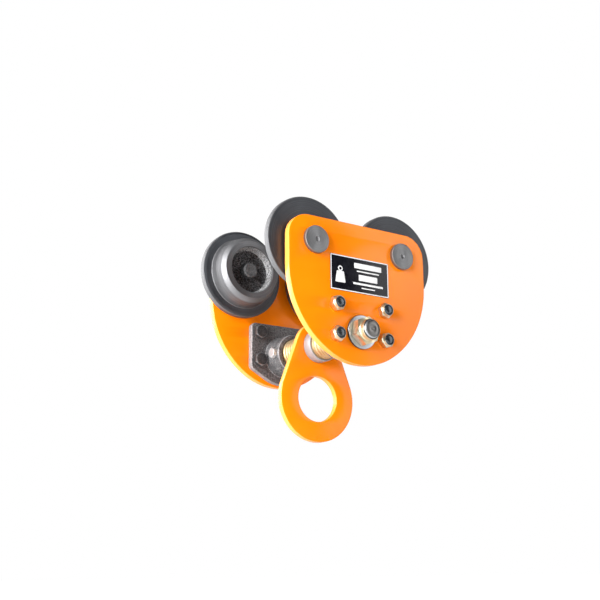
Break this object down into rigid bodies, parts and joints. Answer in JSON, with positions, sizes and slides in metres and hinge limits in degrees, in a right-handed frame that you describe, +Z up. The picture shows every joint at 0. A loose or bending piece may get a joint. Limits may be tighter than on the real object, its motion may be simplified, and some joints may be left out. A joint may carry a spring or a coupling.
{
  "type": "beam trolley",
  "caption": "Adjustable push beam trolley: flanged wheels on side plates run on an I-beam flange, and a load eye hangs from a two-way threaded spindle.",
  "frame": {"origin": "on the beam centre line, level with the flange surface the wheel treads roll on, midway between the axles", "axes": "+X along the beam, +Y from the side with the rating plate towards the other side, +Z up"},
  "size_m": [0.262, 0.2566, 0.3027],
  "materials": {
    "orange_paint": "glossy powder coat",
    "wheel_iron": "machined tread and flange, as-cast recess, oiled",
    "housing_iron": "as cast, rough",
    "axle_steel": "turned, satin",
    "bearing_steel": "ground",
    "black_steel": "black oxide",
    "yellow_zinc": "yellow passivated zinc",
    "white_zinc": "bright zinc",
    "label_black": "printed aluminium plate"
  },
  "bodies": {
    "centre": {"collar_near": "white_zinc", "collar_far": "white_zinc"},
    "near_side": {"axle_near_left": "axle_steel", "axle_near_right": "axle_steel", "axle_spacer_near_left": "white_zinc", "axle_spacer_near_right": "white_zinc", "bearing_inner_near_left": "bearing_steel", "bearing_inner_near_right": "bearing_steel", "housing_bolt_near_lower_left": "black_steel", "housing_bolt_near_lower_right": "black_steel", "housing_bolt_near_upper_left": "black_steel", "housing_bolt_near_upper_right": "black_steel", "housing_nut_near_lower_left": "yellow_zinc", "housing_nut_near_lower_right": "yellow_zinc", "housing_nut_near_upper_left": "yellow_zinc", "housing_nut_near_upper_right": "yellow_zinc", "nut_housing_near": "housing_iron", "side_plate_near": "orange_paint", "rating_plate": "label_black"},
    "wheel_near_left": {"wheel_near_left": "wheel_iron", "bearing_outer_near_left": "bearing_steel", "bearing_circlip_near_left": "black_steel"},
    "bearing_balls_near_left": {"bearing_balls_near_left": "bearing_steel"},
    "wheel_near_right": {"wheel_near_right": "wheel_iron", "bearing_outer_near_right": "bearing_steel", "bearing_circlip_near_right": "black_steel"},
    "bearing_balls_near_right": {"bearing_balls_near_right": "bearing_steel"},
    "lock_screw_near": {"lock_screw_near": "yellow_zinc"},
    "far_side": {"axle_far_left": "axle_steel", "axle_far_right": "axle_steel", "axle_spacer_far_left": "white_zinc", "axle_spacer_far_right": "white_zinc", "bearing_inner_far_left": "bearing_steel", "bearing_inner_far_right": "bearing_steel", "housing_bolt_far_lower_left": "black_steel", "housing_bolt_far_lower_right": "black_steel", "housing_bolt_far_upper_left": "black_steel", "housing_bolt_far_upper_right": "black_steel", "housing_nut_far_lower_left": "yellow_zinc", "housing_nut_far_lower_right": "yellow_zinc", "housing_nut_far_upper_left": "yellow_zinc", "housing_nut_far_upper_right": "yellow_zinc", "nut_housing_far": "housing_iron", "side_plate_far": "orange_paint"},
    "wheel_far_left": {"wheel_far_left": "wheel_iron", "bearing_outer_far_left": "bearing_steel", "bearing_circlip_far_left": "black_steel"},
    "bearing_balls_far_left": {"bearing_balls_far_left": "bearing_steel"},
    "wheel_far_right": {"wheel_far_right": "wheel_iron", "bearing_outer_far_right": "bearing_steel", "bearing_circlip_far_right": "black_steel"},
    "bearing_balls_far_right": {"bearing_balls_far_right": "bearing_steel"},
    "lock_screw_far": {"lock_screw_far": "yellow_zinc"},
    "spindle": {"spindle": "yellow_zinc", "stop_washer_near": "white_zinc", "stop_washer_far": "white_zinc", "spindle_nut_near": "yellow_zinc", "spindle_nut_far": "yellow_zinc"},
    "eye": {"eye_plate": "orange_paint"}
  },
  "joints": [
    {"name": "spindle_turn", "type": "hinge", "parent": "centre", "child": "spindle", "pos_m": [0, 0, -0.064], "axis": [0, 1, 0], "range_deg": [0, 1800]},
    {"name": "near_side_slide", "type": "slide", "parent": "centre", "child": "near_side", "axis": [0, 1, 0], "range_m": [0, 0.03]},
    {"name": "far_side_slide", "type": "slide", "parent": "centre", "child": "far_side", "axis": [0, -1, 0], "range_m": [0, 0.03]},
    {"name": "eye_swing", "type": "hinge", "parent": "centre", "child": "eye", "pos_m": [0, 0, -0.064], "axis": [0, 1, 0], "range_deg": [-75, 75]},
    {"name": "wheel_near_left_spin", "type": "hinge", "parent": "near_side", "child": "wheel_near_left", "pos_m": [-0.069, -0.0925, 0.048], "axis": [0, 1, 0], "continuous": true},
    {"name": "balls_near_left_orbit", "type": "hinge", "parent": "near_side", "child": "bearing_balls_near_left", "pos_m": [-0.069, -0.0925, 0.048], "axis": [0, 1, 0], "continuous": true},
    {"name": "wheel_near_right_spin", "type": "hinge", "parent": "near_side", "child": "wheel_near_right", "pos_m": [0.069, -0.0925, 0.048], "axis": [0, 1, 0], "continuous": true},
    {"name": "balls_near_right_orbit", "type": "hinge", "parent": "near_side", "child": "bearing_balls_near_right", "pos_m": [0.069, -0.0925, 0.048], "axis": [0, 1, 0], "continuous": true},
    {"name": "lock_screw_near_out", "type": "slide", "parent": "near_side", "child": "lock_screw_near", "axis": [1, 0, 0], "range_m": [0, 0.003]},
    {"name": "wheel_far_left_spin", "type": "hinge", "parent": "far_side", "child": "wheel_far_left", "pos_m": [-0.069, 0.0925, 0.048], "axis": [0, 1, 0], "continuous": true},
    {"name": "balls_far_left_orbit", "type": "hinge", "parent": "far_side", "child": "bearing_balls_far_left", "pos_m": [-0.069, 0.0925, 0.048], "axis": [0, 1, 0], "continuous": true},
    {"name": "wheel_far_right_spin", "type": "hinge", "parent": "far_side", "child": "wheel_far_right", "pos_m": [0.069, 0.0925, 0.048], "axis": [0, 1, 0], "continuous": true},
    {"name": "balls_far_right_orbit", "type": "hinge", "parent": "far_side", "child": "bearing_balls_far_right", "pos_m": [0.069, 0.0925, 0.048], "axis": [0, 1, 0], "continuous": true},
    {"name": "lock_screw_far_out", "type": "slide", "parent": "far_side", "child": "lock_screw_far", "axis": [-1, 0, 0], "range_m": [0, 0.003]}
  ],
  "couplings": [
    {"joint": "near_side_slide", "follows": "spindle_turn", "m_per_rad": 0.00095493},
    {"joint": "far_side_slide", "follows": "spindle_turn", "m_per_rad": 0.00095493},
    {"joint": "balls_near_left_orbit", "follows": "wheel_near_left_spin", "ratio": 0.6026},
    {"joint": "balls_near_right_orbit", "follows": "wheel_near_right_spin", "ratio": 0.6026},
    {"joint": "balls_far_left_orbit", "follows": "wheel_far_left_spin", "ratio": 0.6026},
    {"joint": "balls_far_right_orbit", "follows": "wheel_far_right_spin", "ratio": 0.6026}
  ]
}
